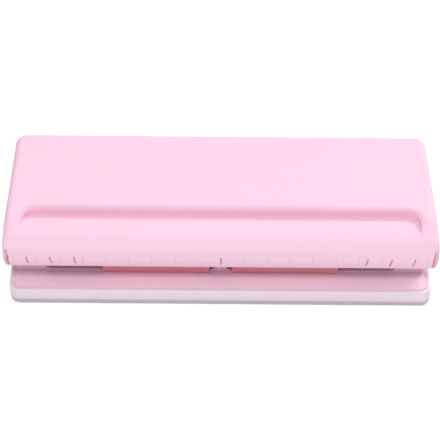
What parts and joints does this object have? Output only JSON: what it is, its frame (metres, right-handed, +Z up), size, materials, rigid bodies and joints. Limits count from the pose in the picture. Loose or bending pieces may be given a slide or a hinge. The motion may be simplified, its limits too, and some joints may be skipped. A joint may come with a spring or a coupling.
{
  "type": "six-hole punch",
  "caption": "Desk punch for loose-leaf pages: a pressed lever with a finger recess over sliding punch units, on a base with a clear chip tray.",
  "frame": {"origin": "middle of the underside of the chip tray's box, on the table", "axes": "+X along the lever, -Y the front where the paper goes in, +Z up"},
  "size_m": [0.19, 0.0804, 0.036],
  "materials": {
    "lever_paint": "satin pink enamel on pressed steel sheet",
    "cover_pink": "smooth moulded pink plastic",
    "unit_paint": "satin deep pink enamel",
    "plated_steel": "zinc plated steel",
    "bright_steel": "ground bright steel",
    "spring_steel": "drawn spring wire",
    "screw_steel": "plated steel screws",
    "block_plastic": "moulded deep pink acetal",
    "frosted_plastic": "frosted clear plastic"
  },
  "bodies": {
    "base": {"base_cover": "cover_pink", "chassis_plate": "unit_paint", "left_hinge_bracket": "plated_steel", "right_hinge_bracket": "plated_steel", "hinge_rod": "bright_steel", "hinge_clips": "spring_steel", "rear_guide_rod": "bright_steel", "left_rod_block": "block_plastic", "right_rod_block": "block_plastic", "base_screws": "screw_steel"},
    "lever": {"lever_plate": "lever_paint", "left_lever_ear": "plated_steel", "right_lever_ear": "plated_steel", "press_bar": "plated_steel"},
    "left_unit": {"left_die_block": "unit_paint", "left_die_plate": "plated_steel", "left_guide_block": "unit_paint", "left_unit_screws": "screw_steel"},
    "right_unit": {"right_die_block": "unit_paint", "right_die_plate": "plated_steel", "right_guide_block": "unit_paint", "right_unit_screws": "screw_steel"},
    "left_punches": {"left_press_cap": "plated_steel", "left_punch_pins": "bright_steel", "left_pin_springs": "spring_steel"},
    "right_punches": {"right_press_cap": "plated_steel", "right_punch_pins": "bright_steel", "right_pin_springs": "spring_steel"},
    "tray": {"chip_tray": "frosted_plastic"}
  },
  "joints": [
    {"name": "lever_press", "type": "hinge", "parent": "base", "child": "lever", "pos_m": [0, 0.03175, 0.024], "axis": [1, 0, 0], "range_deg": [0, 5.8], "stiffness_Nm_per_rad": 1.5, "springref_deg": -17.19},
    {"name": "tray_pull", "type": "slide", "parent": "base", "child": "tray", "axis": [0, 0, -1], "range_m": [0, 0.012]},
    {"name": "left_unit_slide", "type": "slide", "parent": "base", "child": "left_unit", "axis": [-1, 0, 0], "range_m": [0, 0.0255]},
    {"name": "left_punch_press", "type": "slide", "parent": "left_unit", "child": "left_punches", "axis": [0, 0, -1], "range_m": [0, 0.00531], "deforming": ["left_pin_springs"]},
    {"name": "right_unit_slide", "type": "slide", "parent": "base", "child": "right_unit", "axis": [1, 0, 0], "range_m": [0, 0.0255]},
    {"name": "right_punch_press", "type": "slide", "parent": "right_unit", "child": "right_punches", "axis": [0, 0, -1], "range_m": [0, 0.00531], "deforming": ["right_pin_springs"]}
  ],
  "couplings": [
    {"joint": "left_punch_press", "follows": "lever_press", "m_per_rad": 0.052356},
    {"joint": "right_punch_press", "follows": "lever_press", "m_per_rad": 0.052356}
  ]
}
